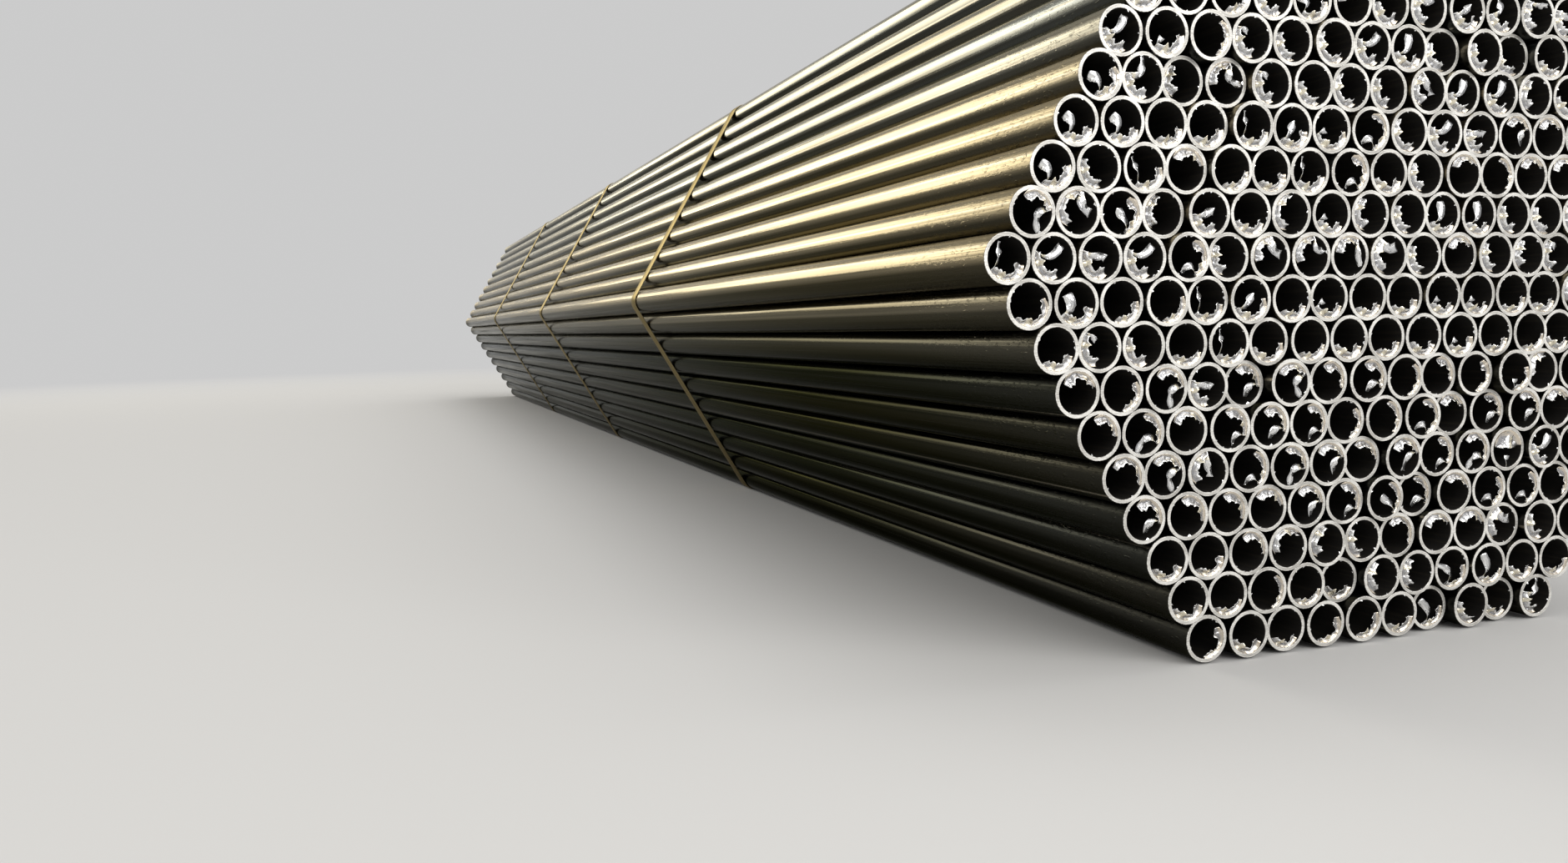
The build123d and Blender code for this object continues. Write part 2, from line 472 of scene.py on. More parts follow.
def tube_tree():
    """A sawn tube of a given size, standing at every point that it gets, turned by the point's own angle."""
    numbers = ["Mean Radius", "Wall", "Length", "Edge Break", "Unevenness", "Wave"]
    sockets = [(label, "NodeSocketFloat") for label in numbers] + [("Sides", "NodeSocketInt")]
    sockets += [(label, "NodeSocketMaterial") for label in ("Skin", "Cut", "Bore")]
    tree, given = new_tree("sawn_tubes", sockets)
    mean_radius = given["Mean Radius"]
    circle = {"Resolution": given["Sides"], "Radius": mean_radius}
    ring = add_node(tree, "GeometryNodeCurvePrimitiveCircle", circle)
    rectangle = {"Width": given["Wall"], "Height": given["Length"]}
    section = add_node(tree, "GeometryNodeCurvePrimitiveQuadrilateral", rectangle)
    edges = {"Curve": section, "Radius": given["Edge Break"], "Limit Radius": True}
    broken = add_node(tree, "GeometryNodeFilletCurve", edges)
    wall = add_node(tree, "GeometryNodeCurveToMesh", {"Curve": ring, "Profile Curve": broken})
    laid = add_node(tree, "GeometryNodeTransform", {"Geometry": wall, "Rotation": (math.pi / 2, 0, 0)})

    # The mesh keeps which way it faces round the tube, and how far through the wall it lies,
    # from -1 at the bore to 1 at the skin.
    place = add_node(tree, "GeometryNodeInputPosition")
    aside = along_axis(tree, place, "X")
    up = along_axis(tree, place, "Z")
    outward = add_node(tree, "ShaderNodeCombineXYZ", {"X": aside, "Z": up})
    unit = vector_maths(tree, "NORMALIZE", outward)["Vector"]
    from_axis = vector_maths(tree, "LENGTH", outward)["Value"]
    past_mean = maths(tree, "SUBTRACT", from_axis, mean_radius)
    through_wall = maths(tree, "MULTIPLY", maths(tree, "DIVIDE", past_mean, given["Wall"]), 2.0)
    kept = stored(tree, laid, "around", unit, kind="FLOAT_VECTOR")
    kept = stored(tree, kept, "across_wall", through_wall)

    # The blade leaves the rim uneven: the points near both cuts move in and out a little.
    waves = add_node(tree, "ShaderNodeTexNoise", {"Scale": given["Wave"], "Detail": 1.0})
    height = maths(tree, "MULTIPLY", maths(tree, "SUBTRACT", waves, 0.5), given["Unevenness"])
    push = add_node(tree, "ShaderNodeVectorMath", {0: unit, "Scale": height}, operation="SCALE")
    rough_rim = add_node(tree, "GeometryNodeSetPosition", {"Geometry": kept, "Offset": push})

    # Every face learns whether it is skin, cut or bore from its normal and its distance from the axis.
    facing = maths(tree, "ABSOLUTE", along_axis(tree, add_node(tree, "GeometryNodeInputNormal"), "Y"))
    is_cut = add_node(tree, "FunctionNodeCompare", {"A": facing, "B": CUT_FACING}, operation="GREATER_THAN")
    is_bore = add_node(tree, "FunctionNodeCompare", {"A": from_axis, "B": mean_radius}, operation="LESS_THAN")
    zoned = stored(tree, rough_rim, "is_cut", is_cut, kind="BOOLEAN", domain="FACE")
    zoned = stored(tree, zoned, "is_bore", is_bore, kind="BOOLEAN", domain="FACE")
    not_cut = add_node(tree, "FunctionNodeBooleanMath", {0: is_cut}, operation="NOT")
    shaded = add_node(tree, "GeometryNodeSetShadeSmooth", {"Geometry": zoned, "Shade Smooth": not_cut})

    rotation = add_node(tree, "ShaderNodeCombineXYZ", {"Y": read_back(tree, "turn")})
    finished = stood_on(tree, given["Geometry"], {"Instance": shaded, "Rotation": rotation})
    for label, zone in (("Skin", None), ("Bore", "is_bore"), ("Cut", "is_cut")):
        inputs = {"Geometry": finished, "Material": given[label]}
        if zone:
            inputs["Selection"] = read_back(tree, zone, "BOOLEAN")
        finished = add_node(tree, "GeometryNodeSetMaterial", inputs)
    add_node(tree, "NodeGroupOutput", {"Geometry": finished})
    return tree


def point_cloud(name, places, **attributes):
    """An object whose mesh is only points, with one number or whole number stored at each."""
    mesh = bpy.data.meshes.new(name)
    mesh.from_pydata(places, [], [])
    for label, values in attributes.items():
        kind = "INT" if isinstance(values[0], int) else "FLOAT"
        layer = mesh.attributes.new(label, kind, "POINT")
        for index, value in enumerate(values):
            layer.data[index].value = value
    return add_object(name, mesh)


def grow(cloud, tree, inputs):
    """Runs a geometry tree on an object, and keeps the result as that object's plain mesh."""
    modifier = cloud.modifiers.new(tree.name, "NODES")
    modifier.node_group = tree
    sockets = {item.name: item.identifier for item in tree.interface.items_tree if item.in_out == "INPUT"}
    for label, value in inputs.items():
        modifier[sockets[label]] = value
    bpy.context.view_layer.update()
    evaluated = cloud.evaluated_get(bpy.context.evaluated_depsgraph_get())
    grown = bpy.data.meshes.new_from_object(evaluated)
    grown.name = cloud.name
    cloud.modifiers.remove(modifier)
    cloud.data = grown


def make_tubes():
    """All the tubes, one piece for each row of the pack."""
    chance = random.Random(TUBE_SEED)
    tree = tube_tree()
    inputs = {
        "Mean Radius": TUBE_RADIUS - TUBE_WALL / 2,
        "Wall": TUBE_WALL,
        "Length": TUBE_LENGTH,
        "Edge Break": EDGE_BREAK,
        "Unevenness": RIM_UNEVENNESS,
        "Wave": RIM_WAVE,
        "Sides": TUBE_SIDES,
        "Skin": skin_material(),
        "Cut": cut_material(),
        "Bore": bore_material(),
    }
    for row, (node, centres) in enumerate(rows.items()):
        # Painted reflection: the upper rows' tones are pushed grey, on top of their random tone.
        reflection_grey = REFLECTION_GREYER_BY if row >= FIRST_REFLECTION_GREY_ROW else 0.0
        turns = [chance.uniform(0, 2 * math.pi) for centre in centres]
        tones = [chance.random() + reflection_grey for centre in centres]
        if row in SEEN_TUBES:
            weld, tones[0] = SEEN_TUBES[row]
            turns[0] = -math.radians(weld)
        tubes = point_cloud("tubes_" + node, centres, turn=turns, tone=tones)
        grow(tubes, tree, inputs)
        tubes.data.set_sharp_from_angle(angle=math.radians(TUBE_SHARP_ANGLE))
        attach(tubes, "root")
        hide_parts(node)


make_tubes()


# The burrs: foil that the blade tore off the inner edge of every cut and pushed into the bore.
# The widest part hangs on as a crumpled crescent, and from its thin end a curl often stands free.
# The widths and stations are in millimetres, other lengths in metres, and the curl's overlap in radians.
FOIL_THICKNESS = 0.00014
CRESCENT_KINDS = 8
CRESCENT_STEPS = 32
CRESCENT_BANDS = 5
CRESCENT_SEED = 11
CRESCENT_WIDTHS = [1.4, 2.7, 2.8, 2.7, 3.1, 3.0, 3.4, 4.3, 4.6, 3.8]
LOBE_SPREAD = 1.3
KNUCKLE_PLACE = 0.3
KNUCKLE_SPREAD = 0.055
KNUCKLE_HEIGHT = 0.0011
FLAP_SPAN = 165
FLAP_BANDS = 14
FLAP_WIDTHS = [4.5, 8.2, 9.2, 9.7, 9.9, 10.1, 9.8, 9.4, 8.8, 5.2]
SLIVER_KINDS = 6
SLIVER_SEED = 5
SLIVER_RADIUS = BORE_RADIUS + 0.0002
CURL_STEPS = 14
CURL_ROOT = 0.68
CURL_OVERLAP = 0.08
CURL_SHARE = 0.55
BURR_SEED = 8
FOIL_BRIGHT = (0.97, 0.97, 0.96, 1)
FOIL_DISH_SHADE = (0.40, 0.40, 0.41, 1)
FOIL_CREAM = (0.80, 0.71, 0.58, 1)
KNUCKLE_CREAM = (0.96, 0.88, 0.68, 1)
FOIL_STREAKS = (5, 12, 2)
CRUMPLE_SCALE = 300.0

# Each curl is a strip through these stations:
# inward from the rim, clockwise round it, depth into the bore, width, and tilt in degrees.
CURLS = [
    [(-0.3, 0.2, 0.9, 1.2, 60), (2.0, -0.4, 0.4, 0.9, 75), (4.6, -1.0, -0.2, 1.5, 45),
     (7.4, -0.5, -0.5, 2.7, 15), (9.8, 1.6, -0.3, 3.3, -15), (11.6, 4.6, 0.2, 3.5, -30),
     (12.8, 7.4, 0.5, 3.0, -10)],
    [(-0.3, 0.0, 0.8, 1.0, 30), (2.2, 0.2, 0.2, 1.7, 60), (5.0, -0.3, -0.4, 2.8, 20),
     (7.6, 0.6, -0.4, 3.5, 35), (9.0, 3.6, 0.2, 3.2, -25), (9.3, 7.4, 0.5, 2.6, 25),
     (8.6, 11.2, 0.9, 1.6, -10)],
    [(-0.3, 0.4, 0.7, 0.8, 50), (2.0, -0.2, 0.2, 1.4, 65), (4.6, -0.9, -0.3, 2.8, 30),
     (7.6, -0.4, -0.2, 3.4, 20), (10.6, 0.8, 0.3, 3.4, -25), (13.4, 0.4, 0.2, 3.2, 15)],
    [(-0.3, 0.0, 0.6, 0.6, 20), (2.4, -0.6, 0.1, 0.8, 50), (5.0, -0.6, -0.2, 1.6, 25),
     (7.4, 0.8, -0.4, 3.2, 10), (8.6, 3.5, 0.0, 4.3, -15), (8.6, 6.6, 0.5, 3.7, -30)],
    [(-0.3, 0.0, 0.8, 0.9, 30), (2.0, 0.8, 0.3, 1.0, 70), (4.4, 0.8, -0.3, 1.6, 30),
     (6.6, 2.0, -0.4, 2.8, 5), (7.2, 4.8, 0.0, 3.3, -20), (5.8, 7.6, 0.6, 2.9, -35)],
    [(-0.3, 0.0, 0.9, 1.8, 15), (2.8, -0.4, 0.3, 3.1, 30), (5.9, 0.4, -0.3, 4.1, 10),
     (8.4, 3.0, -0.2, 4.3, -20), (9.6, 6.9, 0.5, 4.2, -5)],
    [(-0.3, 0.2, 0.7, 0.8, 40), (1.8, 0.7, 0.2, 1.1, 60), (4.2, 1.0, -0.2, 2.2, 20),
     (6.8, 0.7, 0.0, 2.8, -20)],
    [(-0.3, 0.0, 0.8, 0.9, 20), (2.2, 0.6, 0.3, 1.1, 60), (4.6, 1.6, -0.2, 1.7, 35),
     (6.8, 3.2, -0.4, 2.6, 50), (8.6, 5.3, 0.1, 2.8, 10), (10.4, 7.6, 0.4, 2.3, 40),
     (12.0, 9.2, 0.5, 1.5, 15)],
]

# The shapes are numbered in this order: crescents, slivers, curls, and last the flap.
FIRST_SLIVER = CRESCENT_KINDS
FIRST_CURL = FIRST_SLIVER + SLIVER_KINDS
FLAP_SHAPE = FIRST_CURL + len(CURLS)

# Where the middle of the crescent lies on the tubes from the left of each row, in degrees anticlockwise
# from the right. A tube that carries a curl has the curl's number after a dot, counted from 1.
# One tube has a flap across half of its bore instead, marked with a 9, and a curl opposite.
FLAP_MARK = 9
CURL_BY_FLAP = 7
SEEN_BURRS = {
    0: (330, 260, 265, 310, 310, 280),
    1: (270, 280, 350, 285, 265, 180, 180),
    2: (270, 290, 50, 120, 160, 200, 45, 90, 80, 170.6, 210),
    3: (50.4, 45, 40, 70, 65.4, 35.5, 5.3, 25.4, 70, 345.5, 350.5, 10),
    4: (55, 75.2, 155.3, 5.5, 45.2, 75.4, 55, 75.1, 20.5, 45.2, 90.9, 225.1),
    5: (50, 25.2, 85, 40.5, 45.4, 30.5, 345, 10, 5.5, 80, 40.4, 50.4),
    6: (80, 330, 65.2, 215.3, 55.4, 85.2, 40, 35.4, 345, 35, 345, 320.7, 140),
    7: (280, 195.7, 215, 275, 280.8, 275, 285, 265, 285, 265, 285.7, 285, 295, 260),
    8: (300, 280.6, 305, 315, 285.8, 285.3, 280, 270.7, 275, 280, 265.7, 265.7, 285, 275),
    9: (275.8, 220.1, 225.3, 220.1, 0.5, 195, 140.6, 140.5, 110.8, 185.6, 205, 90, 195, 175, 190.7),
    10: (60.2, 150.6, 350.3, 170, 240.3, 265, 170, 260.7, 180, 210, 265.1, 265.1, 210, 215),
    11: (300.4, 215, 300.8, 75, 295, 285, 280.8, 10.5, 265, 200, 90, 15, 85, 90),
    12: (280.4, 280.4, 290, 285, 280.8, 285.3, 275.7, 0.5, 215, 225.1, 220.3, 75.4, 85),
    13: (320.4, 225.2, 180, 130.2, 210.7, 230, 210, 205, 175.3, 240.1, 240.1, 175, 240),
    14: (230.1, 290.7, 350, 210.7, 215, 225, 225.1, 260.1, 215, 215, 230, 255),
}

# The usual place of the crescent on the other tubes, from each row upwards, with how far it wanders.
USUAL_BURRS = {0: (280, 45), 3: (40, 25), 7: (30, 60), 9: (205, 40), 13: (235, 60)}


def smooth_step(start, end, value):
    """0 below the start, 1 above the end and an even ease between."""
    share = min(max((value - start) / (end - start), 0), 1)
    return share * share * (3 - 2 * share)


def along_stations(stations, share):
    """The point at a share of the way through evenly spaced stations, on a smooth curve."""
    place = share * (len(stations) - 1)
    first = min(int(place), len(stations) - 2)
    rest = place - first
    before = Vector(stations[max(first - 1, 0)])
    start = Vector(stations[first])
    end = Vector(stations[first + 1])
    after = Vector(stations[min(first + 2, len(stations) - 1)])
    bend = 2 * before - 5 * start + 4 * end - after
    twist = -before + 3 * start - 3 * end + after
    return start + 0.5 * rest * ((end - before) + rest * (bend + rest * twist))


def finished_mesh(name, shape):
    """The shape as a named mesh, with the shape itself let go."""
    mesh = bpy.data.meshes.new(name)
    shape.to_mesh(mesh)
    shape.free()
    return mesh


def foil_mesh(name, grid, root=0.0):
    """A closed thin sheet through a grid of points. Its UV runs from 0 at the root to 1 at the free edge."""
    last_step = len(grid) - 1
    last_band = len(grid[0]) - 1
    shape = bmesh.new()
    uv = shape.loops.layers.uv.new("UVMap")
    sides = []
    for side in (1, -1):
        sheet = []
        for step, line in enumerate(grid):
            verts = []
            for band, point in enumerate(line):
                along = grid[min(step + 1, last_step)][band] - grid[max(step - 1, 0)][band]
                across = line[min(band + 1, last_band)] - line[max(band - 1, 0)]
                normal = along.cross(across).normalized()
                verts.append(shape.verts.new(point + normal * (side * FOIL_THICKNESS / 2)))
            sheet.append(verts)
        sides.append(sheet)
    upper, lower = sides
    rim = [(step, 0) for step in range(last_step)]
    rim += [(last_step, band) for band in range(last_band)]
    rim += [(step, last_band) for step in range(last_step, 0, -1)]
    rim += [(0, band) for band in range(last_band, 0, -1)]
    quads = []
    for step in range(last_step):
        for band in range(last_band):
            cell = [(step, band), (step + 1, band), (step + 1, band + 1), (step, band + 1)]
            quads.append([(upper, *corner) for corner in cell])
            quads.append([(lower, *corner) for corner in reversed(cell)])
    for here, there in zip(rim, rim[1:] + rim[:1]):
        quads.append([(upper, *there), (upper, *here), (lower, *here), (lower, *there)])
    for quad in quads:
        face = shape.faces.new([sheet[step][band] for sheet, step, band in quad])
        face.smooth = True
        for loop, (sheet, step, band) in zip(face.loops, quad):
            loop[uv].uv = (step / last_step, root + (1 - root) * band / last_band)
    return finished_mesh(name, shape)


def on_rim(angle, radius, depth):
    """A point in a bore: the angle runs anticlockwise as seen from the open end, and depth is +Y."""
    return Vector((radius * math.cos(angle), depth, radius * math.sin(angle)))


def crescent_mesh(number, widths, bands, degrees=None):
    """One torn crescent with a ragged free edge, thinnest at its clockwise end. Also the angle it spans."""
    chance = random.Random(CRESCENT_SEED + number)
    span = math.radians(degrees or chance.uniform(105, 160))
    size = chance.uniform(0.92, 1.25)
    hang = chance.uniform(0.0009, 0.0017)
    flare = chance.uniform(0.0005, 0.0013)
    peel = chance.uniform(0.0008, 0.0018)
    drift = Vector((chance.uniform(0, 50), chance.uniform(0, 50), chance.uniform(0, 50)))
    lobes = {chance.randint(0, 3): 0.0013, chance.randint(6, 12): 0.0011, chance.randint(18, 30): 0.0010}
    stations = [(width, 0) for width in widths]
    grid = []
    for step in range(CRESCENT_STEPS + 1):
        share = step / CRESCENT_STEPS
        angle = (share - 0.5) * span

        # The width swells in broad waves, frays in fine ones, and stands out in lobes and at the knuckle.
        width = along_stations(stations, share)[0] * 0.001 * size
        width *= 1 + 0.35 * noise.noise(drift + Vector((share * 6, 0, 0)))
        width += 0.0004 * noise.noise(drift + Vector((share * 15, 5, 0)))
        width += sum(reach * math.exp(-((step - place) / LOBE_SPREAD) ** 2) for place, reach in lobes.items())
        knuckle = KNUCKLE_HEIGHT * math.exp(-((share - KNUCKLE_PLACE) / KNUCKLE_SPREAD) ** 2)
        width = min(width + knuckle, 0.97 * BORE_RADIUS)
        peeled = peel * smooth_step(0.82, 1.0, share)

        # Inward from the rim the foil sags into the bore, then flares back out of it.
        line = []
        for band in range(bands + 1):
            inward = band / bands
            spot = drift + Vector((share * 14, inward * 3, 9))
            depth = 0.0001 + hang * math.sin(math.pi * inward ** 0.8) * (1 + 0.5 * noise.noise(spot))
            depth -= flare * inward * inward * (1 + noise.noise(spot * 0.6)) + knuckle * inward
            depth += 0.0006 * inward * noise.noise(spot * 1.1)
            swing = 0.02 * inward * noise.noise(spot * 1.3 + Vector((0, 0, 7)))
            radius = BORE_RADIUS + 0.00015 - peeled * (1 - 0.4 * inward) - width * inward
            line.append(on_rim(angle + swing, radius, depth))
        grid.append(line)
    return foil_mesh(f"crescent_{number}", grid), span


def curl_mesh(number, stations):
    """One free curl that starts at the rim straight to the right and swings clockwise."""
    drift = Vector((number * 7.3, 2.0, 4.0))
    grid = []
    for step in range(CURL_STEPS + 1):
        share = step / CURL_STEPS
        inward, round_the_rim, depth, width, tilt = along_stations(stations, share)
        before = along_stations(stations, max(share - 0.03, 0))
        after = along_stations(stations, min(share + 0.03, 1))
        course = Vector((before[0] - after[0], after[2] - before[2], before[1] - after[1])).normalized()
        flat = course.cross(Vector((0, 1, 0))).normalized()
        side = Matrix.Rotation(math.radians(tilt), 3, course) @ flat
        up = side.cross(course)
        spine = Vector((BORE_RADIUS * 1000 - inward, depth, -round_the_rim))
        line = []
        for across in (-1, 0, 1):
            crease = 0.35 * noise.noise(drift + Vector((share * 6, across, 0)))
            ragged = 1.18 + 0.26 * noise.noise(drift + Vector((share * 11, across * 4, 3)))
            camber = 0.12 * width * (1 - abs(across))
            point = spine + side * (across * width / 2 * ragged) + up * (crease + camber)
            line.append(point * 0.001)
        grid.append(line)
    return foil_mesh(f"curl_{number}", grid, CURL_ROOT)


def sliver_mesh(number):
    """A few short chips that still cling to the side of the rim opposite the crescent."""
    chance = random.Random(SLIVER_SEED + number)
    shape = bmesh.new()
    uv = shape.loops.layers.uv.new("UVMap")
    for chip in range(chance.randint(1, 4)):
        angle = math.radians(chance.uniform(75, 285))
        length = chance.uniform(0.0003, 0.0010)
        spread = chance.uniform(0.0005, 0.0014) / BORE_RADIUS
        lean = chance.uniform(-0.09, 0.09)
        end = on_rim(angle + lean, BORE_RADIUS - length, chance.uniform(-0.0004, 0.0008))
        root = ((-spread, 0.0002), (0, 0.00012), (spread, 0.0002), (0, 0.0006))
        corners = [shape.verts.new(on_rim(angle + aside, SLIVER_RADIUS, depth)) for aside, depth in root]
        tip = shape.verts.new(end)
        shape.faces.new(corners)
        for first, second in zip(corners, corners[1:] + corners[:1]):
            shape.faces.new([second, first, tip])
    bmesh.ops.recalc_face_normals(shape, faces=shape.faces)
    for face in shape.faces:
        for loop in face.loops:
            loop[uv].uv = (1, 1)
    return finished_mesh(f"slivers_{number}", shape)


def foil_material():
    """Freshly torn steel: bright at its free edge and creamy at its root, with painted shade as a grey band
    where it is dished.
    """
    material, tree, where = new_material("torn_foil")
    streaks = stretched_noise(tree, where["UV"], FOIL_STREAKS, detail=3.0)
    across = along_axis(tree, where["UV"], "Y")

    # The colour changes from the root to the free edge, along a border that the streaks make ragged.
    ragged = maths(tree, "MULTIPLY_ADD", streaks, 0.9, -0.45)
    colours = add_node(tree, "ShaderNodeValToRGB", {"Fac": maths(tree, "ADD", across, ragged)})
    stops = colours.color_ramp.elements
    stops[0].position = 0.05
    stops[0].color = FOIL_CREAM
    stops[1].position = 0.95
    stops[1].color = FOIL_BRIGHT
    # Painted shade: a grey band across the middle, where the foil sags into the bore.
    for position in (0.35, 0.6):
        stops.new(position).color = FOIL_DISH_SHADE

    # The knuckle is where the foil was folded sharply, and the heat of the cut has left a tint on it.
    from_knuckle = maths(tree, "SUBTRACT", along_axis(tree, where["UV"], "X"), KNUCKLE_PLACE)
    at_knuckle = remap(tree, maths(tree, "ABSOLUTE", from_knuckle), 0.10, 0.04)
    clear_of_root = remap(tree, across, 0.2, 0.4, high=0.8)
    knuckle = maths(tree, "MULTIPLY", at_knuckle, clear_of_root)

    crumple = add_node(tree, "ShaderNodeTexVoronoi", {"Vector": where["Object"], "Scale": CRUMPLE_SCALE})
    ridges = relief(tree, streaks, strength=0.5, depth=0.0005)
    return metal(material, {
        "Metallic": 0.92,
        "Roughness": 0.14,
        "Base Color": mixed(tree, knuckle, colours, KNUCKLE_CREAM),
        "Normal": relief(tree, crumple, strength=0.22, depth=0.0005, below=ridges),
    })


def burr_tree():
    """Stands one shape of a collection at every point, by the point's own number, turn and end."""
    sockets = [("Shapes", "NodeSocketCollection"), ("Foil", "NodeSocketMaterial")]
    tree, given = new_tree("saw_burrs", sockets)
    choice = {"Collection": given["Shapes"], "Separate Children": True, "Reset Children": True}
    angles = {"Y": read_back(tree, "turn"), "Z": read_back(tree, "about")}
    real = stood_on(tree, given["Geometry"], {
        "Instance": add_node(tree, "GeometryNodeCollectionInfo", choice),
        "Pick Instance": True,
        "Instance Index": read_back(tree, "kind", "INT"),
        "Rotation": add_node(tree, "ShaderNodeCombineXYZ", angles),
    })
    painted = add_node(tree, "GeometryNodeSetMaterial", {"Geometry": real, "Material": given["Foil"]})
    add_node(tree, "NodeGroupOutput", {"Geometry": painted})
    return tree


def burr_shapes():
    """All the shapes of burr as a numbered collection, and the spans of the crescents."""
    crescents = [crescent_mesh(number, CRESCENT_WIDTHS, CRESCENT_BANDS) for number in range(CRESCENT_KINDS)]
    meshes = [mesh for mesh, span in crescents]
    meshes += [sliver_mesh(number) for number in range(SLIVER_KINDS)]
    meshes += [curl_mesh(number, stations) for number, stations in enumerate(CURLS)]
    meshes.append(crescent_mesh(CRESCENT_KINDS, FLAP_WIDTHS, FLAP_BANDS, FLAP_SPAN)[0])
    shapes = bpy.data.collections.new("burr_shapes")
    for index, mesh in enumerate(meshes):
        shapes.objects.link(bpy.data.objects.new(f"shape_{index:02d}", mesh))
    return shapes, [span for mesh, span in crescents]


def make_burrs():
    """The burrs at both ends of every tube, one piece for each row of the pack."""
    shapes, spans = burr_shapes()
    chance = random.Random(BURR_SEED)
    tree = burr_tree()
    inputs = {"Shapes": shapes, "Foil": foil_material()}
    for row, (node, centres) in enumerate(rows.items()):
        hung = []
        seen = SEEN_BURRS.get(row, ())
        usual, wander = USUAL_BURRS[max(start for start in USUAL_BURRS if start <= row)]
        for place, centre in enumerate(centres):
            if place < len(seen):
                middle_angle = int(seen[place])
                curl = round(10 * (seen[place] - middle_angle))
            else:
                middle_angle = usual + chance.gauss(0, wander)
                curl = chance.randint(1, len(CURLS)) if chance.random() < CURL_SHARE else 0
            back_curl = chance.randint(1, len(CURLS)) if chance.random() < CURL_SHARE else 0
            ends = [
                (-TUBE_LENGTH / 2, 0.0, math.radians(middle_angle), curl),
                (TUBE_LENGTH / 2, math.pi, chance.uniform(0, 2 * math.pi), back_curl),
            ]
            for along, facing, angle, strip in ends:
                crescent = chance.randrange(CRESCENT_KINDS)
                hanging = [(crescent, angle), (FIRST_SLIVER + chance.randrange(SLIVER_KINDS), angle)]
                if strip == FLAP_MARK:
                    hanging = [(FLAP_SHAPE, angle), (FIRST_CURL + CURL_BY_FLAP - 1, angle + math.pi)]
                elif strip:
                    hanging.append((FIRST_CURL + strip - 1, angle - spans[crescent] / 2 + CURL_OVERLAP))
                hung += [(centre + Vector((0, along, 0)), kind, -where, facing) for kind, where in hanging]
        places, kinds, turns, about = zip(*hung)
        burrs = point_cloud("burrs_" + node, places, kind=kinds, turn=turns, about=about)
        grow(burrs, tree, inputs)
        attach(burrs, "root")


make_burrs()


# The bands: flat steel strip drawn tight round the pack, each with its two ends lapped on top.
# The upper end runs on through the seal and springs up as a free tail.
BAND_COUNT = 3
BAND_THICKNESS = 0.0008
BAND_CLEARANCE = 0.00025
BAND_EDGE_RADIUS = 0.00025
LAP_END = 0.025
LAP_STEP = 0.012
LAP_GAP = 0.0001
TAIL_RADIUS = 0.095
TAIL_TURN = 32
CRIMP_RADIUS = 0.0026
CRIMP_SPACING = 0.013
SEAL_SHEET = 0.0009
SEAL_CLEARANCE = 0.0001
CORNER_TURN = 60
STEPS_PER_CORNER = 14
STEPS_PER_LAP = 96
STEPS_PER_EDGE = 2
TAIL_STEPS = 18
STRIP_SHARP_ANGLE = 35
BAND_STREAKS = (35, 900, 35)
BAND_BROWN = (0.235, 0.195, 0.115, 1)
BAND_DARK = (0.115, 0.095, 0.058, 1)
BAND_TINT = (0.62, 0.56, 0.42, 1)


def box_of(node):
    """The lowest and highest corner of a node's box, as vectors."""
    return [Vector(corner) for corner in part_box(node)]


def crimp_depth(along):
    """How far the seal and the band are pressed in at a distance from the seal's middle."""
    off = abs(abs(along) - CRIMP_SPACING / 2)
    return max(CRIMP_RADIUS ** 2 - off * off, 0) ** 0.5


def arc(centre, radius, start, end, steps):
    """Points in the XZ plane along an arc, with its angles in degrees."""
    points = []
    for step in range(steps + 1):
        angle = math.radians(start + (end - start) * step / steps)
        points.append((centre[0] + radius * math.cos(angle), centre[1] + radius * math.sin(angle)))
    return points


def level_run(start, end, height, steps):
    """Points at one height, evenly spread from one distance along X to another."""
    return [(start + (end - start) * step / steps, height) for step in range(steps + 1)]


def band_path(seal_floor):
    """The middle line of a band's thickness, from its hidden lower end to the tip of its tail."""
    corner_rows = [row_nodes[-1], row_nodes[len(row_nodes) // 2], row_nodes[0]]
    corners = [rows[node][0] for node in corner_rows] + [rows[node][-1] for node in reversed(corner_rows)]
    radius = TUBE_RADIUS + BAND_CLEARANCE + BAND_THICKNESS / 2
    lower = seal_floor + SEAL_SHEET + SEAL_CLEARANCE + BAND_THICKNESS / 2
    upper = lower + BAND_THICKNESS + LAP_GAP
    flat_end = LAP_END + LAP_STEP
    to_corner = Vector((flat_end - corners[-1].x, lower - corners[-1].z))
    lean = math.degrees(math.atan2(to_corner.y, to_corner.x) - math.acos(radius / to_corner.length))
    lean = 90 - (lean % 360)
    path = level_run(LAP_END, -LAP_END, lower, STEPS_PER_LAP)
    path.append((-flat_end, lower))
    for number, corner in enumerate(corners):
        start = 90 + CORNER_TURN * number
        finish = start + CORNER_TURN
        if number == 0:
            start += lean
        if number == len(corners) - 1:
            finish -= lean
        path += arc((corner.x, corner.z), radius, start, finish, STEPS_PER_CORNER)
    path.append((flat_end, lower))
    path += level_run(LAP_END, -LAP_END, upper, STEPS_PER_LAP)
    path += arc((-LAP_END, upper + TAIL_RADIUS), TAIL_RADIUS, 270, 270 - TAIL_TURN, TAIL_STEPS)[1:]
    return path


def strip_section(half_width):
    """The strip's section with its edges rounded, as points (across, up)."""
    section = []
    for corner, (side, up) in enumerate(((1, 1), (-1, 1), (-1, -1), (1, -1))):
        centre = (side * (half_width - BAND_EDGE_RADIUS), up * (BAND_THICKNESS / 2 - BAND_EDGE_RADIUS))
        section += arc(centre, BAND_EDGE_RADIUS, 90 * corner, 90 * corner + 90, STEPS_PER_EDGE)
    return section


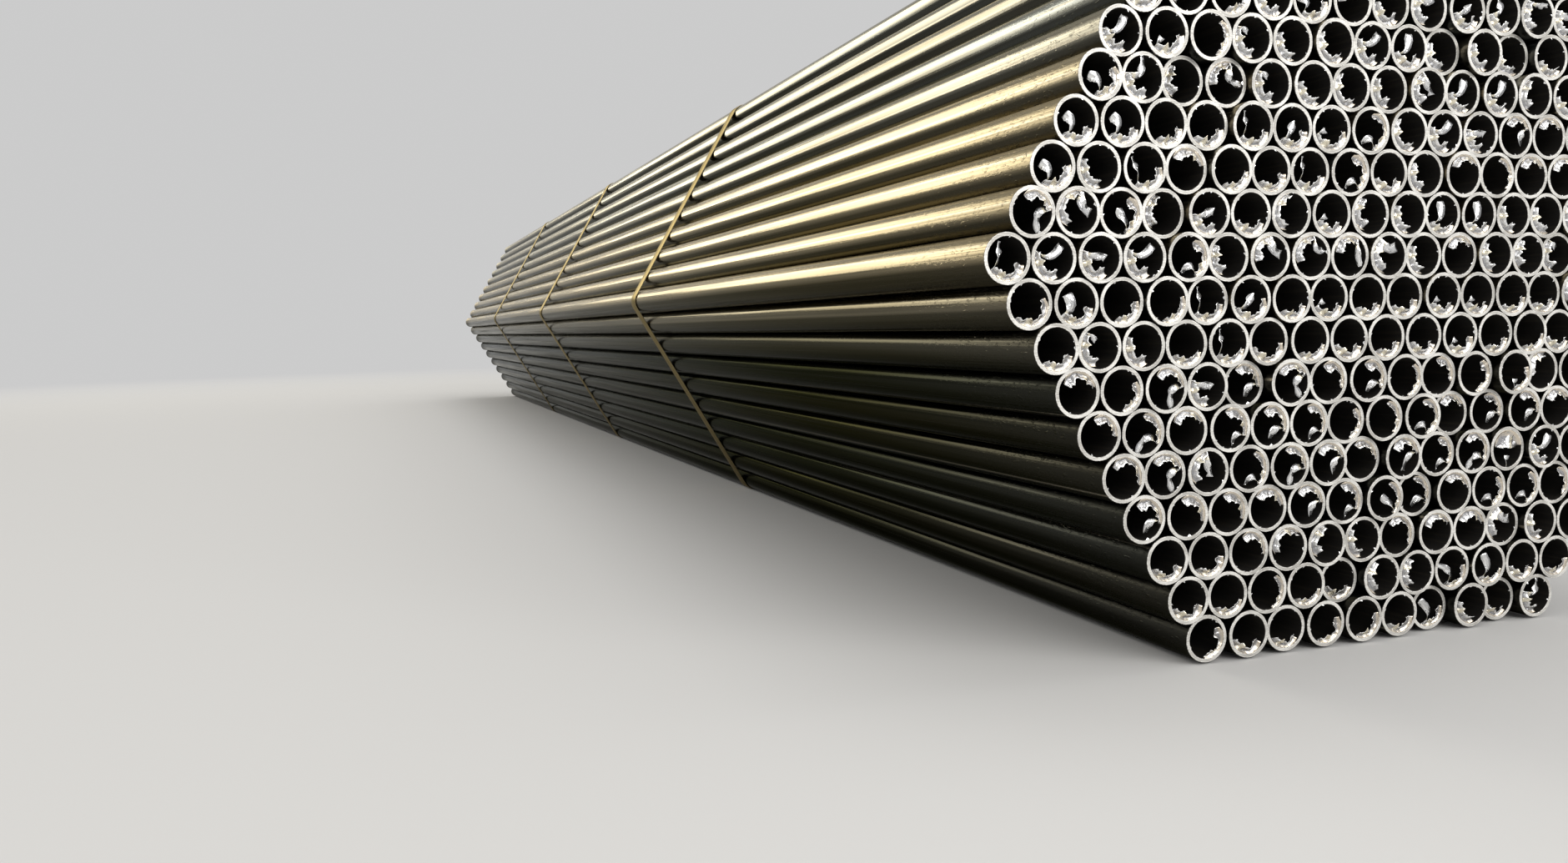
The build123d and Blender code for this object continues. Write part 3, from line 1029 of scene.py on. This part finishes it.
def swept_piece(name, loops, material):
    """A closed piece through a row of loops with equally many points each, capped at both ends."""
    shape = bmesh.new()
    rings = [[shape.verts.new(point) for point in loop] for loop in loops]
    for before, after in zip(rings, rings[1:]):
        for index in range(len(before)):
            following = (index + 1) % len(before)
            shape.faces.new([before[index], before[following], after[following], after[index]])
    shape.faces.new(rings[0][::-1])
    shape.faces.new(rings[-1])
    bmesh.ops.recalc_face_normals(shape, faces=shape.faces)
    for face in shape.faces:
        face.smooth = True
    mesh = finished_mesh(name, shape)
    mesh.set_sharp_from_angle(angle=math.radians(STRIP_SHARP_ANGLE))
    mesh.materials.append(material)
    return add_object(name, mesh)


def band_material():
    """Oiled brown strip, a little glossier along its rubbed streaks."""
    material, tree, where = new_material("strapping_steel")
    streaks = stretched_noise(tree, where["Object"], BAND_STREAKS, detail=3.0)
    share = remap(tree, streaks, 0.35, 0.85, high=0.4)
    return metal(material, {
        "Metallic": 1.0,
        "Specular Tint": BAND_TINT,
        "Base Color": mixed(tree, share, BAND_BROWN, BAND_DARK),
        "Roughness": remap(tree, streaks, 0.0, 1.0, low=0.30, high=0.42),
        "Normal": relief(tree, streaks, strength=0.1, depth=0.0001),
    })


def make_bands():
    """Every band as one swept strip, pressed in at the seal's crimps."""
    material = band_material()
    for number in range(1, BAND_COUNT + 1):
        low, high = box_of(f"steel_band_{number}")
        seal_floor = box_of(f"band_seal_{number}")[0].z
        path = band_path(seal_floor)
        along = (low.y + high.y) / 2
        half_width = (high.y - low.y) / 2
        loops = []
        for index, (across, height) in enumerate(path):
            before = path[max(index - 1, 0)]
            after = path[min(index + 1, len(path) - 1)]
            course = Vector((after[0] - before[0], 0, after[1] - before[1])).normalized()
            outward = Vector((course.z, 0, -course.x))
            in_seal = height > seal_floor and abs(across) < LAP_END
            pressed = half_width - crimp_depth(across) if in_seal else half_width
            centre = Vector((across, along, height))
            section = strip_section(pressed)
            loops.append([centre + Vector((0, side, 0)) + outward * up for side, up in section])
        band = swept_piece(f"band_{number}", loops, material)
        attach(band, "root")
        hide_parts(f"steel_band_{number}")


make_bands()


# The seals: a zinc-bright sheet folded round both ends of a band, its seam underneath.
# Two pairs of crimps are pressed into its edges, and they lock the ends together.
SEAL_FOLD_RADIUS = 0.0008
SEAL_SEAM = 0.007
SEAL_STEPS = 64
STEPS_PER_FOLD = 4
SPANGLE_SCALE = 700.0
SEAL_ZINC = (0.66, 0.65, 0.62, 1)
SEAL_DULL = (0.40, 0.385, 0.36, 1)


def seal_material():
    """Galvanised sheet with a faint spangle, dulled by handling."""
    material, tree, where = new_material("seal_zinc")
    spangle = add_node(tree, "ShaderNodeTexVoronoi", {"Vector": where["Object"], "Scale": SPANGLE_SCALE})
    tint = add_node(tree, "ShaderNodeSeparateColor", {"Color": spangle.outputs["Color"]})
    colour = mixed(tree, remap(tree, tint, 0.0, 1.0, high=0.6), SEAL_ZINC, SEAL_DULL)
    return metal(material, {"Metallic": 0.9, "Roughness": 0.36, "Base Color": colour})


def seal_section(low, high, dent):
    """The sleeve's section as points (Y, Z), open at the seam, with its sides pushed in by the dent."""
    half = (high.y - low.y) / 2
    centre = (high.y + low.y) / 2
    outside = (half, SEAL_FOLD_RADIUS, 0.0)
    inside = (half - SEAL_SHEET, SEAL_FOLD_RADIUS / 4, SEAL_SHEET)
    outline = []
    for size, radius, lift in (outside, inside):
        bottom = low.z + lift
        top = high.z - lift
        side = size - radius
        run = [(SEAL_SEAM / 2, bottom)]
        run += arc((side, bottom + radius), radius, 270, 360, STEPS_PER_FOLD)
        run += arc((side, top - radius), radius, 0, 90, STEPS_PER_FOLD)
        run += arc((-side, top - radius), radius, 90, 180, STEPS_PER_FOLD)
        run += arc((-side, bottom + radius), radius, 180, 270, STEPS_PER_FOLD)
        run.append((-SEAL_SEAM / 2, bottom))
        outline += run if lift == 0.0 else run[::-1]
    section = []
    for across, height in outline:
        pushed = dent if abs(across) > SEAL_SEAM else 0.0
        section.append((centre + math.copysign(abs(across) - pushed, across), height))
    return section


def make_seals():
    """Every seal as one sleeve swept along the lap."""
    material = seal_material()
    for number in range(1, BAND_COUNT + 1):
        low, high = box_of(f"band_seal_{number}")
        middle_x = (low.x + high.x) / 2
        half_length = (high.x - low.x) / 2
        loops = []
        for step in range(SEAL_STEPS + 1):
            along = (2 * step / SEAL_STEPS - 1) * half_length
            section = seal_section(low, high, crimp_depth(along))
            loops.append([Vector((middle_x + along, across, height)) for across, height in section])
        seal = swept_piece(f"seal_{number}", loops, material)
        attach(seal, "root")
        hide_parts(f"band_seal_{number}")


make_seals()
